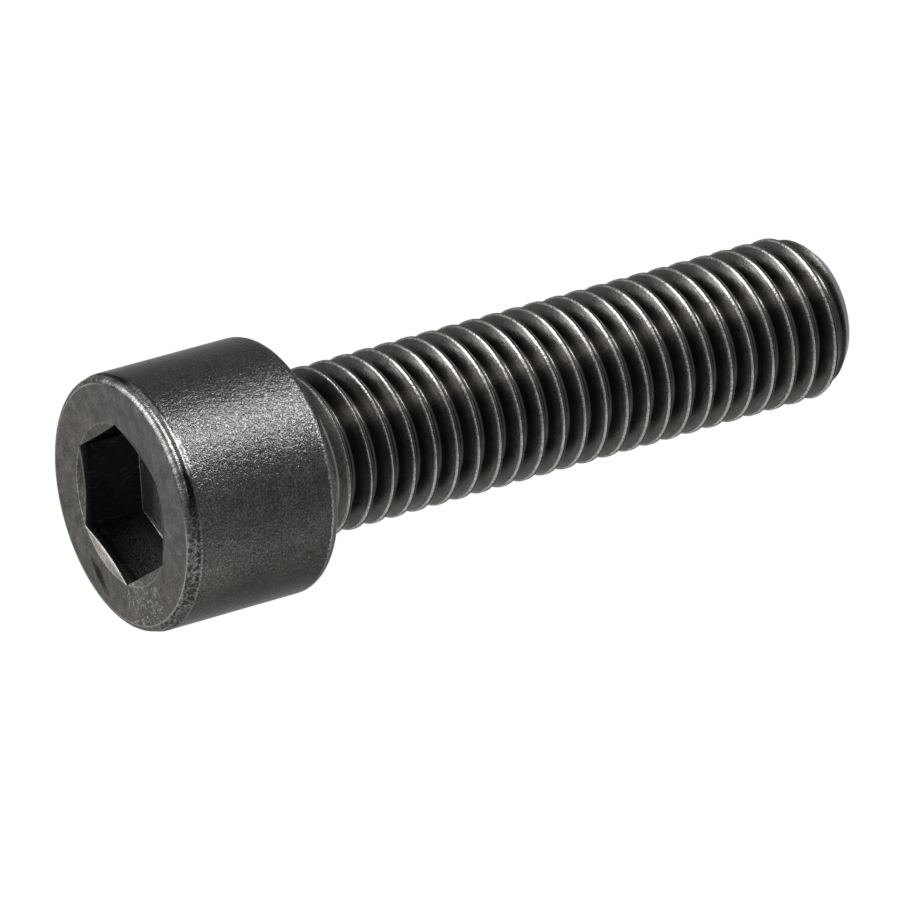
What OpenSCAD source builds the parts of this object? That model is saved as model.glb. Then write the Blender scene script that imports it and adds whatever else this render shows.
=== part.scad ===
// Socket head cap screw, standing on its head: the head's front face lies in the plane z = 0,
// +Z runs along the shank towards the tip, and one corner of the hexagon socket points along +X.
// Sizes are in millimetres, angles in degrees.

/* [Head] */
// Diameter of the cylindrical head
head_d = 18; // [16:0.5:22]
// Height of the head, from the front face to the bearing face
head_h = 12; // [9:0.5:16]
// Distance from the head's side to the rim of its flat front face
front_inset = 0.54; // [0.3:0.02:0.9]
// Length of the rounded front edge along the side
front_edge = 0.82; // [0.6:0.02:1.2]
// Radius of the rounded edge at the bearing face
rear_round = 0.8; // [0.3:0.1:1.2]

/* [Socket] */
// Width of the hexagon socket across its flats
socket_af = 10; // [8:0.5:12]
// Depth of the socket from the front face
socket_depth = 4.6; // [3:0.2:7]
// Radial width of the dished countersink beyond the middle of each flat
sink_margin = 0.72; // [0.2:0.02:1]
// Depth of the countersink at the middle of each flat
sink_depth = 0.2; // [0.1:0.05:0.5]

/* [Shank] */
// Length under the head, from the bearing face to the tip
shank_len = 45; // [20:1:60]
// Diameter of the plain neck, the stock that the thread is rolled on
neck_d = 10.8; // [10:0.1:11.2]
// Length of the plain neck beyond the bearing face
neck_len = 1.2; // [0.8:0.1:2]
// Radius of the fillet between the neck and the bearing face
neck_fillet = 0.6; // [0.3:0.1:0.9]
// Length of the conical chamfer at the tip
tip_len = 1.25; // [0.8:0.05:2]
// Radius of the flat end face
tip_r = 4.5; // [4:0.1:4.8]

/* [Thread] */
// Outside diameter of the thread
thread_d = 11.7; // [11.2:0.1:12.4]
// Pitch of the single right-hand start
pitch = 1.75; // [1.5:0.05:2]
// Angle between the two flanks
flank_angle = 60; // [55:1:65]
// Width of the rounded crest
crest_w = 0.3; // [0.2:0.02:0.4]
// Rise of the crest's middle over its two shoulders
crest_rise = 0.06; // [0.02:0.02:0.12]
// Width of the flat root
root_w = 0.28; // [0.2:0.02:0.4]
// Turns over which the thread grows from the neck to its full depth
fade_turns = 0.9; // [0.3:0.1:1.5]
// Azimuth by which the crest line is turned about the shank
thread_turn = 80; // [-180:0.5:180]

/* [Hidden] */
$fn = 96;

total_len = head_h + shank_len;
// The rounded front edge is an arc that runs into the side and meets the front face in a crisp rim.
front_r = (front_inset * front_inset + front_edge * front_edge) / (2 * front_inset);
// Corner radius of the hexagon, and the countersink that reaches a little past each flat.
socket_r = socket_af / 2 / cos(30);
sink_r = socket_af / 2 + sink_margin;
sink_slope = sink_depth / sink_margin;
sink_end_r = socket_af / 2 - 1;
// Overshoot of a cutting tool past the face that it starts from.
past = 1;
// Overlap of two solids that are joined.
overlap = 0.1;
// Thread section: one crest with its shoulders, two straight flanks and a flat root.
flank_run = (pitch - crest_w - root_w) / 2;
flank_rise = flank_run / tan(flank_angle / 2);
crest_r = thread_d / 2;
shoulder_r = crest_r - crest_rise;
root_r = shoulder_r - flank_rise;
// Points of one pitch: distance along the axis from its start, and radius.
section = [
    [0, root_r],
    [flank_run, shoulder_r],
    [flank_run + crest_w / 2, crest_r],
    [flank_run + crest_w, shoulder_r],
    [pitch - root_w, root_r]
];
rows = len(section);
// Facets round the shank.
sides = 36;
// The thread's body starts inside the head and the neck, by a share of a turn and a thin skin, and
// ends beyond the tip, where it is cut.
start_turns = 0.9;
skin = 0.04;
thread_z = head_h - start_turns * pitch;
hidden_r = neck_d / 2 - skin;
turns = ceil((total_len - thread_z) / pitch) + 1;
// Turns before the neck's end at which the thread begins to grow.
fade_lead = 0.75;
fade_from = (head_h + neck_len - thread_z) / pitch - fade_lead;

// Share of the full thread depth after a number of turns along the helix.
function grown(t) =
    let (u = min(1, max(0, (t - fade_from) / fade_turns)))
    u * u * (3 - 2 * u);

// Radius of a point of the section, after so many turns.
function thread_r(j, t) = hidden_r + (section[j][1] - hidden_r) * grown(t);

// Point of the helical surface: row j of a turn, at one of the sides.
function thread_point(turn, j, i) =
    let (t = turn + i / sides, a = 360 * i / sides, r = thread_r(j, t))
    [r * cos(a), r * sin(a), thread_z + pitch * t + section[j][0]];

// Index of row k at side i. The last side runs on into the first one, a whole turn further along.
function at(k, i) = i == sides ? (k + rows) * sides : k * sides + i;

module thread_body() {
    last = turns * rows;
    points = concat(
        [for (k = [0 : last + rows]) for (i = [0 : sides - 1]) thread_point(floor(k / rows), k % rows, i)],
        [[0, 0, thread_z + pitch / 2], [0, 0, thread_z + pitch * (turns + 0.5)]]
    );
    low = len(points) - 2;
    high = len(points) - 1;
    walls = [
        for (k = [0 : last - 1]) for (i = [0 : sides - 1])
        each [[at(k, i), at(k + 1, i), at(k + 1, i + 1)], [at(k, i), at(k + 1, i + 1), at(k, i + 1)]]
    ];
    // Both ends are closed by a helical fan and by the step that joins the fan's two ends.
    low_cap = concat(
        [for (i = [0 : sides - 1]) [low, at(0, i), at(0, i + 1)]],
        [for (k = [0 : rows - 1]) [low, at(k + 1, 0), at(k, 0)]]
    );
    high_cap = concat(
        [for (i = [0 : sides - 1]) [high, at(last, i + 1), at(last, i)]],
        [for (k = [0 : rows - 1]) [high, at(last + k, 0), at(last + k + 1, 0)]]
    );
    polyhedron(points, concat(walls, low_cap, high_cap));
}

// Space that the thread fills: it ends in the tip's chamfer and the flat end face.
module tip_envelope() {
    slope = tip_len / (crest_r - tip_r);
    rotate_extrude()
        polygon([
            [0, 0],
            [crest_r + past, 0],
            [crest_r + past, total_len - tip_len - past * slope],
            [tip_r, total_len],
            [0, total_len]
        ]);
}

// Half section of the head, with the true arcs of its front edge, its rear edge and the neck's fillet.
module head_section() {
    side_r = head_d / 2;
    difference() {
        union() {
            // Front edge: an arc that is tangent to the side.
            intersection() {
                translate([side_r - front_r, front_edge])
                    circle(front_r);
                square([side_r, front_edge]);
            }
            square([side_r - front_r, front_edge]);
            translate([0, front_edge])
                square([side_r, head_h - rear_round - front_edge]);
            translate([side_r - rear_round, head_h - rear_round])
                circle(rear_round);
            square([side_r - rear_round, head_h]);
            // Neck and its fillet to the bearing face.
            square([neck_d / 2, head_h + neck_len]);
            translate([0, head_h - overlap])
                square([neck_d / 2 + neck_fillet, neck_fillet + overlap]);
        }
        translate([neck_d / 2 + neck_fillet, head_h + neck_fillet])
            circle(neck_fillet);
        translate([-head_d, -past])
            square([head_d, total_len]);
    }
}

module socket() {
    translate([0, 0, -past])
        cylinder(h = socket_depth + past, r = socket_r, $fn = 6);
    // Dished countersink: a shallow cone that opens towards the front face.
    translate([0, 0, -past])
        cylinder(h = past + (sink_r - sink_end_r) * sink_slope, r1 = sink_r + past / sink_slope, r2 = sink_end_r);
}

module cap_screw() {
    color([0.16, 0.16, 0.16])
        union() {
            difference() {
                rotate_extrude()
                    head_section();
                socket();
            }
            rotate([0, 0, thread_turn])
                intersection() {
                    thread_body();
                    tip_envelope();
                }
        }
}

cap_screw();
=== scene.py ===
# %% [markdown]
# # A socket head cap screw in black oxide steel
# This lesson dresses one steel screw for a close view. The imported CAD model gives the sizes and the
# place: the screw stands on its head, the head's front face lies in the plane z = 0, and the thread
# points up. The script makes a finer skin for it, with the true roundings and the true thread, and
# then the finish: satin black oxide that is worn bright where the edges rub.

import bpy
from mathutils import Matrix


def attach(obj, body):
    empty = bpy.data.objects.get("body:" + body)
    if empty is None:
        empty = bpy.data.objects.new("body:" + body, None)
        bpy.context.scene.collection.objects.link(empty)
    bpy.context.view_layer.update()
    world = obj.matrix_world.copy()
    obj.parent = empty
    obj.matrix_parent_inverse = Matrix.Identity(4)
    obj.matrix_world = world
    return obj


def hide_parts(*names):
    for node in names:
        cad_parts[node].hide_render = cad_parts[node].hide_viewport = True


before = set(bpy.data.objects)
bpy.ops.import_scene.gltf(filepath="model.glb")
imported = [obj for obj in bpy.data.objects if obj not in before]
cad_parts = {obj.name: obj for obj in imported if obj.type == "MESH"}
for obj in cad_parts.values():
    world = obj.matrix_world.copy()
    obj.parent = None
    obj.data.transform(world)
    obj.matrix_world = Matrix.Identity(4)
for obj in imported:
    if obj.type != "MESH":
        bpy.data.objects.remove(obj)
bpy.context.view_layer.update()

# %% [markdown]
# ## Tools for the whole lesson
# Blender works in metres and a screw is drawn in millimetres, so every size is written in
# millimetres and multiplied by MM once. A small class adds nodes to a tree: each call adds one node,
# fills its inputs with numbers or with other nodes' outputs, and gives back the output that is
# wanted. The same class serves Geometry Nodes and shaders, because both share their maths.

# %% A writer for node trees
import math
from types import SimpleNamespace

import bmesh
import bpy
from mathutils import Matrix, Vector

MM = 0.001


class Wiring:
    """Adds nodes to one tree, from left to right."""

    def __init__(self, tree):
        self.tree = tree
        self.count = 0

    def add(self, kind, inputs=(), out=0, **settings):
        """One node. inputs is a list in socket order, or a dict of socket name or number to value."""
        node = self.tree.nodes.new(kind)
        node.location = (220 * (self.count % 12), -260 * (self.count // 12))
        self.count += 1
        for name, value in settings.items():
            setattr(node, name, value)
        pairs = inputs.items() if isinstance(inputs, dict) else enumerate(inputs)
        for key, value in pairs:
            socket = node.inputs[key]
            if isinstance(value, bpy.types.NodeSocket):
                self.tree.links.new(value, socket)
            else:
                socket.default_value = value
        return node.outputs[out] if out is not None else node

    def math(self, operation, *values, clamp=False):
        return self.add("ShaderNodeMath", values, operation=operation, use_clamp=clamp)

    def times(self, *values):
        """The product of all values. The product of masks is 1 only where all of them are."""
        product = values[0]
        for value in values[1:]:
            product = self.math("MULTIPLY", product, value)
        return product

    def join(self, x, y, z):
        return self.add("ShaderNodeCombineXYZ", [x, y, z])

    def ramp(self, value, low, high, start=0.0, end=1.0, smooth=True):
        """value between low and high becomes start to end, smoothly by default."""
        return self.add(
            "ShaderNodeMapRange",
            {"Value": value, "From Min": low, "From Max": high, "To Min": start, "To Max": end},
            interpolation_type="SMOOTHSTEP" if smooth else "LINEAR",
        )


# %% [markdown]
# ## The head's shape
# A real head is forged from bar: a plain cylinder with a rounded front edge, a softly rounded edge
# at the bearing face, a shallow dished countersink, and a hexagon socket pressed into its front. It
# could be cut out with booleans, but those leave long thin faces that shade badly on roundings. It
# is made of rings instead. Every ring has the same number of points at the same angles, so each band
# between two rings is a clean strip of quads. The angles crowd towards the hexagon's six corners.

# %% Sizes of the head
HEAD_R = 8.993
HEAD_H = 12.0
RIM_R = 8.46
REAR_ROUND = 0.8
SOCKET_HALF = 5.0
SOCKET_DEPTH = 4.6
CORNER_ROUND = 0.12
FLOOR_FILLET = 0.08
SINK_R = 5.72
SINK_SLOPE = 0.2 / 0.72
MOUTH_ROUND = 0.09
NECK_R = 5.4
NECK_LEN = 1.2
NECK_FILLET = 0.6
print("head", 2 * HEAD_R, "mm wide,", HEAD_H, "mm high, with a key width of", 2 * SOCKET_HALF, "mm")

# %% [markdown]
# The hexagon is written as a radius for each angle. Between corners that is the distance to a flat
# line, half the key width divided by a cosine. Near a corner it is the distance to a small arc, since
# no press tool has a perfectly sharp corner.

# %% Angles and the hexagon
def ring_angles():
    """Angles round the head, in radians, close together near the hexagon's corners."""
    near = [0.0, 0.2, 0.4, 0.62, 0.95, 1.6, 2.7]
    steps = near + [4.5 + 2.55 * k for k in range(21)] + [60 - d for d in reversed(near[1:])]
    return [math.radians(60 * side + step) for side in range(6) for step in steps]


def hexagon_radius(angle):
    """Distance from the axis to the socket's wall."""
    sixth = math.pi / 3
    off = abs((angle + sixth / 2) % sixth - sixth / 2)
    centre = (SOCKET_HALF - CORNER_ROUND) / math.cos(sixth / 2)
    touch = math.atan2(CORNER_ROUND / 2, centre + CORNER_ROUND * math.cos(sixth / 2))
    if off < touch:
        return centre * math.cos(off) + math.sqrt(CORNER_ROUND**2 - (centre * math.sin(off)) ** 2)
    return SOCKET_HALF / math.cos(sixth / 2 - off)


ANGLES = ring_angles()
HEXAGON = [hexagon_radius(angle) for angle in ANGLES]
print("angles round the head:", len(ANGLES))

# %% [markdown]
# ### Socket
# A ring is a list with one radius and one height for each angle. Most rings are plain circles. The
# rings of the socket follow the hexagon. At its mouth their height follows the countersink as well,
# which is what makes the six curved crescents between the flats and the round countersink. The mouth
# itself is worn round, and a short curve of five rings says so.

# %% Rings from the socket's floor to its mouth
def face_height(radius):
    """Height of the front face or, inside the countersink, of its dished cone."""
    return max(0.0, (SINK_R - radius) * SINK_SLOPE)


def follow_hexagon(shift, height, scale=1.0):
    return [(scale * h + shift, height) for h in HEXAGON]


def socket_rings():
    rings = [follow_hexagon(0, SOCKET_DEPTH, 0.35), follow_hexagon(0, SOCKET_DEPTH, 0.75)]
    for k in range(4):
        turn = math.radians(30 * k)
        rings.append(follow_hexagon(-FLOOR_FILLET * (1 - math.sin(turn)),
                                    SOCKET_DEPTH - FLOOR_FILLET * (1 - math.cos(turn))))
    return rings + [follow_hexagon(0, z) for z in (3.6, 2.2, 1.2, 0.6)]


def mouth_rings():
    """The worn, slightly rounded edge between the socket's walls and the countersink."""
    rings = []
    for t in (0.0, 0.25, 0.5, 0.75, 1.0):
        ring = []
        for h in HEXAGON:
            out_r = h + MOUTH_ROUND
            corner = (h, face_height(h))
            wall, top = (h, corner[1] + MOUTH_ROUND), (out_r, face_height(out_r))
            ring.append(tuple((1 - t) ** 2 * a + 2 * t * (1 - t) * b + t * t * c
                              for a, b, c in zip(wall, corner, top)))
        rings.append(ring)
    return rings


print("socket:", len(socket_rings()), "rings, mouth:", len(mouth_rings()), "rings")

# %% [markdown]
# ### Front face
# The face is turned flat, so it needs few rings. Three rings fill the crescents. Three more stand
# close together at the countersink's rim, so the shading turns there sharply and not over the whole
# face, and two do the same for the front edge.

# %% Rings of the crescents and the face
def circle(radius, height):
    return [(radius, height)] * len(ANGLES)


def face_rings():
    rings = []
    for t in (0.3, 0.65, 0.9):
        ring = []
        for h in HEXAGON:
            start = h + MOUTH_ROUND
            radius = start + t * max(SINK_R - start, 0.0)
            ring.append((radius, face_height(radius)))
        rings.append(ring)
    for step in (0.0, 0.05, 0.12):
        rings.append([(max(SINK_R + step, h + MOUTH_ROUND + 0.02 + step), 0.0) for h in HEXAGON])
    return rings + [circle(r, 0.0) for r in (6.6, 7.6, RIM_R - 0.12, RIM_R - 0.04)]


print("face:", len(face_rings()), "rings")

# %% [markdown]
# ### Front edge
# The front edge carries most of the wear, so its profile is drawn with care: a bead that rises from
# the rim of the face, a shallow groove behind it, and a soft step up to the plain side. The bead
# catches one bright line of light and the top of the step catches another. A Bevel modifier would
# give one even rounding, so the three parts are written as points.

# %% Profile of the front edge
BEAD_R = 8.87
BEAD_Z = 0.42
GROOVE_R = 8.855
GROOVE_Z = 0.53
STEP_Z, STEP_LEN = 0.56, 0.28


def front_profile():
    """(radius, height) from the rim to the start of the side."""
    rise = math.radians(25)
    points = []
    for k in range(9):
        turn = rise + (math.pi / 2 - rise) * k / 8
        reach = (math.sin(turn) - math.sin(rise)) / (1 - math.sin(rise))
        points.append((RIM_R + (BEAD_R - RIM_R) * reach,
                       BEAD_Z * (1 - math.cos(turn) / math.cos(rise))))
    points.append((GROOVE_R, GROOVE_Z))
    for k in range(1, 8):
        t = k / 7
        points.append((GROOVE_R + (HEAD_R - GROOVE_R) * t * t * (3 - 2 * t), STEP_Z + STEP_LEN * t))
    return points


print("front edge:", len(front_profile()), "points")

# %% [markdown]
# ### Side, rear edge and neck
# Behind the edge come the plain side, a quarter circle at the rear edge, the flat bearing face and a
# hollow quarter circle, the fillet that keeps a real head from breaking off its neck.

# %% Rings from the front edge to the neck
def edge_rings():
    rings = [circle(radius, height) for radius, height in front_profile()]
    rings += [circle(HEAD_R, z) for z in (1.2, 2.5, 4.5, 6.5, 8.5, 10.2, HEAD_H - REAR_ROUND - 0.1)]
    for k in range(11):
        turn = math.radians(9 * k)
        rings.append(circle(HEAD_R - REAR_ROUND * (1 - math.cos(turn)),
                            HEAD_H - REAR_ROUND * (1 - math.sin(turn))))
    rings.append(circle(7.0, HEAD_H))
    for k in range(7):
        turn = math.radians(15 * k)
        rings.append(circle(NECK_R + NECK_FILLET * (1 - math.sin(turn)),
                            HEAD_H + NECK_FILLET * (1 - math.cos(turn))))
    return rings + [circle(NECK_R, HEAD_H + 0.9), circle(NECK_R, HEAD_H + NECK_LEN)]


print("edge, side and neck:", len(edge_rings()), "rings")

# %% [markdown]
# The rings are joined into one closed skin. A single point closes the socket's floor, and another
# one closes the neck, which the thread hides. Blender then turns all faces outwards.

# %% Skin the rings
def new_object(name, data):
    """Shows a mesh, a lamp or a lens in the scene."""
    shown = bpy.data.objects.new(name, data)
    bpy.context.scene.collection.objects.link(shown)
    return shown


def skin(name, rings):
    """A closed mesh through rings of (radius, height) in millimetres."""
    mesh = bpy.data.meshes.new(name)
    shape = bmesh.new()
    loops = []
    for ring in rings:
        loops.append([
            shape.verts.new((r * math.cos(a) * MM, r * math.sin(a) * MM, z * MM))
            for (r, z), a in zip(ring, ANGLES)
        ])
    count = len(ANGLES)
    for low, high in zip(loops, loops[1:]):
        for i in range(count):
            j = (i + 1) % count
            shape.faces.new((low[i], low[j], high[j], high[i]))
    for loop, ring in ((loops[0], rings[0]), (loops[-1], rings[-1])):
        pole = shape.verts.new((0, 0, ring[0][1] * MM))
        for i in range(count):
            shape.faces.new((loop[i], loop[(i + 1) % count], pole))
    bmesh.ops.remove_doubles(shape, verts=shape.verts, dist=1e-7)
    bmesh.ops.recalc_face_normals(shape, faces=shape.faces)
    shape.to_mesh(mesh)
    shape.free()
    return new_object(name, mesh)


head = skin("screw_head", socket_rings() + mouth_rings() + face_rings() + edge_rings())
print("head:", len(head.data.vertices), "points,", len(head.data.polygons), "faces")

# %% [markdown]
# ## The thread's section
# A screw thread is rolled between hardened dies: one ridge that climbs by one pitch in each turn.
# Its section has two straight flanks 60 degrees apart, a rounded root and a crest of two small lips
# with a seam between them, where the metal has flowed up from both sides. The section is drawn once,
# as a chain of points over exactly one pitch. Geometry Nodes read the chain from a small helper
# object, so a reader can look at it and change it.

# %% Draw one pitch of the section
PITCH = 1.75
THREAD_R = 5.85
CREST_HALF = 0.15
CREST_RISE = 0.06
ROOT_HALF = 0.14
FLANK_RUN = PITCH / 2 - CREST_HALF - ROOT_HALF
SHOULDER_R = THREAD_R - CREST_RISE
ROOT_R = SHOULDER_R - FLANK_RUN / math.tan(math.radians(30))
ROOT_SAG = 0.05
LIP_AT = 0.09
SEAM = 0.045


def section_points():
    """(distance along the axis, radius) over one pitch, from the middle of one root to the next."""
    half = []
    for k in range(3):
        x = ROOT_HALF * k / 3
        half.append((x, ROOT_R - ROOT_SAG * (1 - (x / ROOT_HALF) ** 2)))
    foot, top = (ROOT_HALF, ROOT_R), (PITCH / 2 - CREST_HALF, SHOULDER_R)
    for t in (0.0, 0.06, 0.35, 0.7, 0.93, 1.0):
        half.append((foot[0] + t * (top[0] - foot[0]), foot[1] + t * (top[1] - foot[1])))
    for x in (0.125, LIP_AT, 0.06, 0.03):
        if x < LIP_AT:
            drop = SEAM * (1 - (x / LIP_AT) ** 2) ** 2
        else:
            drop = CREST_RISE * ((x - LIP_AT) / (CREST_HALF - LIP_AT)) ** 2
        half.append((PITCH / 2 - x, THREAD_R - drop))
    middle = (PITCH / 2, THREAD_R - SEAM)
    return half + [middle] + [(PITCH - x, r) for x, r in reversed(half)]


SECTION = section_points()
section_mesh = bpy.data.meshes.new("thread_section")
section_mesh.from_pydata([(x * MM, r * MM, 0) for x, r in SECTION], [], [])
section_object = new_object("thread_section", section_mesh)
print("section:", len(SECTION), "points, root radius", round(ROOT_R, 3), "mm")

# %% [markdown]
# ## The thread, by Geometry Nodes
# The thread could be made with a Screw modifier, but that can't grow out of the neck. Here a flat
# grid is the cloth: its long side runs along the helix, its short side across one pitch, and the tree
# moves each grid point to its place. These are the sizes that the tree is given. The thread starts
# inside the head, where nobody sees it, and runs on past the tip, where an envelope cuts it off.

# %% Sizes of the shank
TOTAL_LEN = 56.999
TIP_R = 4.5
SKIN = 0.04
SIDES = 96
CREST_AT_ZERO = 12.522
THREAD_START = CREST_AT_ZERO - 1.5 * PITCH
TURNS = math.ceil((TOTAL_LEN - THREAD_START) / PITCH) + 1
SHANK_SIZES = {
    "Pitch": PITCH, "Start Height": THREAD_START, "Neck Radius": NECK_R - SKIN,
    "Grow From": 13.3, "Grow To": 14.45, "Open From": 13.9, "Open To": 15.4,
    "Runout Rise": 0.44, "Close From": 54.4, "Close To": 56.8,
}
print("thread:", TURNS, "turns of", PITCH, "mm from height", round(THREAD_START, 3))

# %% [markdown]
# The section's points lie in a row of the grid, and each column of the grid is one more step round
# the screw. From a point's own number the tree works out its column and row. The column gives the
# turn, the row picks the point of the section, and both together give the height.

# %% Where each grid point belongs
def unroll(w, value):
    """The flat grid, and for each of its points the turn, the section's point and the climb."""
    columns = w.math("ADD", w.times(value["Sides"], value["Turns"]), 1)
    grid = w.add("GeometryNodeMeshGrid",
                 {"Vertices X": columns, "Vertices Y": value["Section Points"]})
    index = w.add("GeometryNodeInputIndex")
    column = w.math("FLOOR", w.math("DIVIDE", w.math("ADD", index, 0.5), value["Section Points"]))
    row = w.math("SUBTRACT", index, w.times(column, value["Section Points"]))
    chain = w.add("GeometryNodeObjectInfo", {"Object": value["Section"]}, out="Geometry")
    place = w.add("GeometryNodeInputPosition")
    drawn = w.add("GeometryNodeSampleIndex", {"Geometry": chain, "Value": place, "Index": row},
                  data_type="FLOAT_VECTOR")
    along, radius, _ = w.add("ShaderNodeSeparateXYZ", [drawn], out=None).outputs
    turn = w.math("DIVIDE", column, value["Sides"])
    climb = w.math("ADD", w.times(turn, value["Pitch"]), along)
    return SimpleNamespace(grid=grid, turn=turn, along=along, radius=radius, climb=climb,
                           height=w.math("ADD", climb, value["Start Height"]))


# %% [markdown]
# Near the head the rolling dies run out. The ridge grows out of the plain neck, the groove opens a
# little later, and in front of the first full ridge the metal rises in a gentle ramp. Towards the
# tip the groove gets shallow again, because the blank was chamfered before it was rolled.

# %% Radius along the thread
RAMP_SHARES = (0.06, 0.415)
CREST_SHARE = 0.499
RAMP_RISES, RAMP_FALLS = (1.6, 2.0), (2.3, 2.5)
LAST_GROOVE = 0.35


def ridge_radius(w, value, point):
    """Distance from the axis, for a point of the grid."""
    over = w.math("SUBTRACT", point.radius, value["Neck Radius"])
    ridge = w.times(w.math("MAXIMUM", over, 0.0),
                    w.ramp(point.height, value["Grow From"], value["Grow To"]))
    deep = w.times(w.ramp(point.height, value["Open From"], value["Open To"]),
                   w.ramp(point.height, value["Close From"], value["Close To"], 1.0, LAST_GROOVE))
    groove = w.times(w.math("MINIMUM", over, 0.0), deep)
    share = w.math("DIVIDE", point.along, value["Pitch"])
    slope = w.ramp(share, *RAMP_SHARES, 0.0, 1.0, smooth=False)
    front = w.math("LESS_THAN", share, CREST_SHARE)
    spell = w.times(w.ramp(point.turn, *RAMP_RISES), w.ramp(point.turn, *RAMP_FALLS, 1.0, 0.0))
    rise = w.times(w.times(slope, front), w.times(spell, value["Runout Rise"]))
    return w.math("ADD", value["Neck Radius"], w.math("ADD", w.math("MAXIMUM", ridge, rise), groove))


# %% [markdown]
# Neighbouring turns share their root line, so merging by distance closes the skin. Points before the
# first full turn and after the last one are drawn to the axis, which closes both ends. The tip's
# chamfer is cut last, by meeting the thread with a turned envelope, as a lathe would do it.

# %% Build the tree
THREAD_INPUTS = [
    ("Section", "Object"), ("Section Points", "Int"), ("Sides", "Int"), ("Turns", "Int"),
    *((name, "Float") for name in SHANK_SIZES),
    ("Envelope", "Object"), ("Material", "Material"),
]


def thread_tree():
    tree = bpy.data.node_groups.new("Helical thread", "GeometryNodeTree")
    for name, kind in THREAD_INPUTS:
        tree.interface.new_socket(name, in_out="INPUT", socket_type="NodeSocket" + kind)
    tree.interface.new_socket("Geometry", in_out="OUTPUT", socket_type="NodeSocketGeometry")
    w = Wiring(tree)
    given = w.add("NodeGroupInput", out=None)
    value = {name: given.outputs[name] for name, _ in THREAD_INPUTS}
    point = unroll(w, value)
    share = w.math("DIVIDE", point.climb, value["Pitch"])
    begun = w.math("GREATER_THAN", share, 0.9999)
    ended = w.math("LESS_THAN", share, w.math("ADD", value["Turns"], 0.0001))
    radius = w.times(ridge_radius(w, value, point), w.times(begun, ended))
    low = w.math("ADD", value["Start Height"], value["Pitch"])
    high = w.math("ADD", value["Start Height"], w.times(value["Pitch"], value["Turns"]))
    kept = w.math("MINIMUM", w.math("MAXIMUM", point.height, low), high)
    angle = w.times(point.turn, 2 * math.pi)
    place = w.join(w.times(radius, w.math("COSINE", angle)),
                   w.times(radius, w.math("SINE", angle)), kept)
    moved = w.add("GeometryNodeSetPosition", {"Geometry": point.grid, "Position": place})
    merged = w.add("GeometryNodeMergeByDistance", {"Geometry": moved, "Distance": 1e-7})
    cutter = w.add("GeometryNodeObjectInfo", {"Object": value["Envelope"]}, out="Geometry")
    cut = w.add("GeometryNodeMeshBoolean", out=None, operation="INTERSECT", solver="EXACT")
    tree.links.new(merged, cut.inputs["Mesh 2"])
    tree.links.new(cutter, cut.inputs["Mesh 2"])
    real = w.add("GeometryNodeRealizeInstances", [cut.outputs[0]])
    dressed = w.add("GeometryNodeSetMaterial", {"Geometry": real, "Material": value["Material"]})
    w.add("NodeGroupOutput", [dressed], out=None)
    return tree


thread_nodes = thread_tree()
print("thread tree:", len(thread_nodes.nodes), "nodes")

# %% [markdown]
# The envelope is one more set of rings: a wide cylinder that narrows in two steps, which gives a
# slightly domed chamfer, and ends in the flat end face. It starts inside the head, where nobody
# sees it.

# %% The tip's envelope
WIDE_R = THREAD_R + 0.6
BREAK_R, BREAK_Z = 5.3, TOTAL_LEN - 0.85
OUTER_SLOPE = 0.55
INNER_SLOPE = (BREAK_R - TIP_R - 0.1) / (TOTAL_LEN - 0.09 - BREAK_Z)
envelope = skin("tip_envelope", [
    circle(WIDE_R, HEAD_H - 1.0),
    circle(WIDE_R, BREAK_Z - (WIDE_R - BREAK_R) / OUTER_SLOPE),
    circle(BREAK_R + 0.06, BREAK_Z - 0.06 / OUTER_SLOPE),
    circle(BREAK_R - 0.05, BREAK_Z + 0.05 / INNER_SLOPE),
    circle(TIP_R + 0.10, TOTAL_LEN - 0.09),
    circle(TIP_R + 0.02, TOTAL_LEN - 0.035),
    circle(TIP_R - 0.07, TOTAL_LEN),
    circle(TIP_R - 0.6, TOTAL_LEN),
])
print("envelope:", len(envelope.data.polygons), "faces")

# %% [markdown]
# ## The finish
# Black oxide is a thin layer of converted steel, not paint. It stays metallic, only darker: it
# mirrors about a thirtieth of the light. Where parts rub in a bin the layer wears through and bare
# steel shows, first on edges. Both states are one metal with a dark and a bright colour, and masks
# tell them apart. Some masks also paint highlights and shade into the colour. A mask is a number, 1
# where a mark is and 0 elsewhere. It could be painted by hand, but made from radius, height,
# direction and noise it stays sharp from any distance.

# %% Patterns and masks
def direction(degrees):
    """Level direction from the axis: 0 degrees is along x, 90 degrees along y."""
    return (math.cos(math.radians(degrees)), math.sin(math.radians(degrees)), 0.0)


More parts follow.
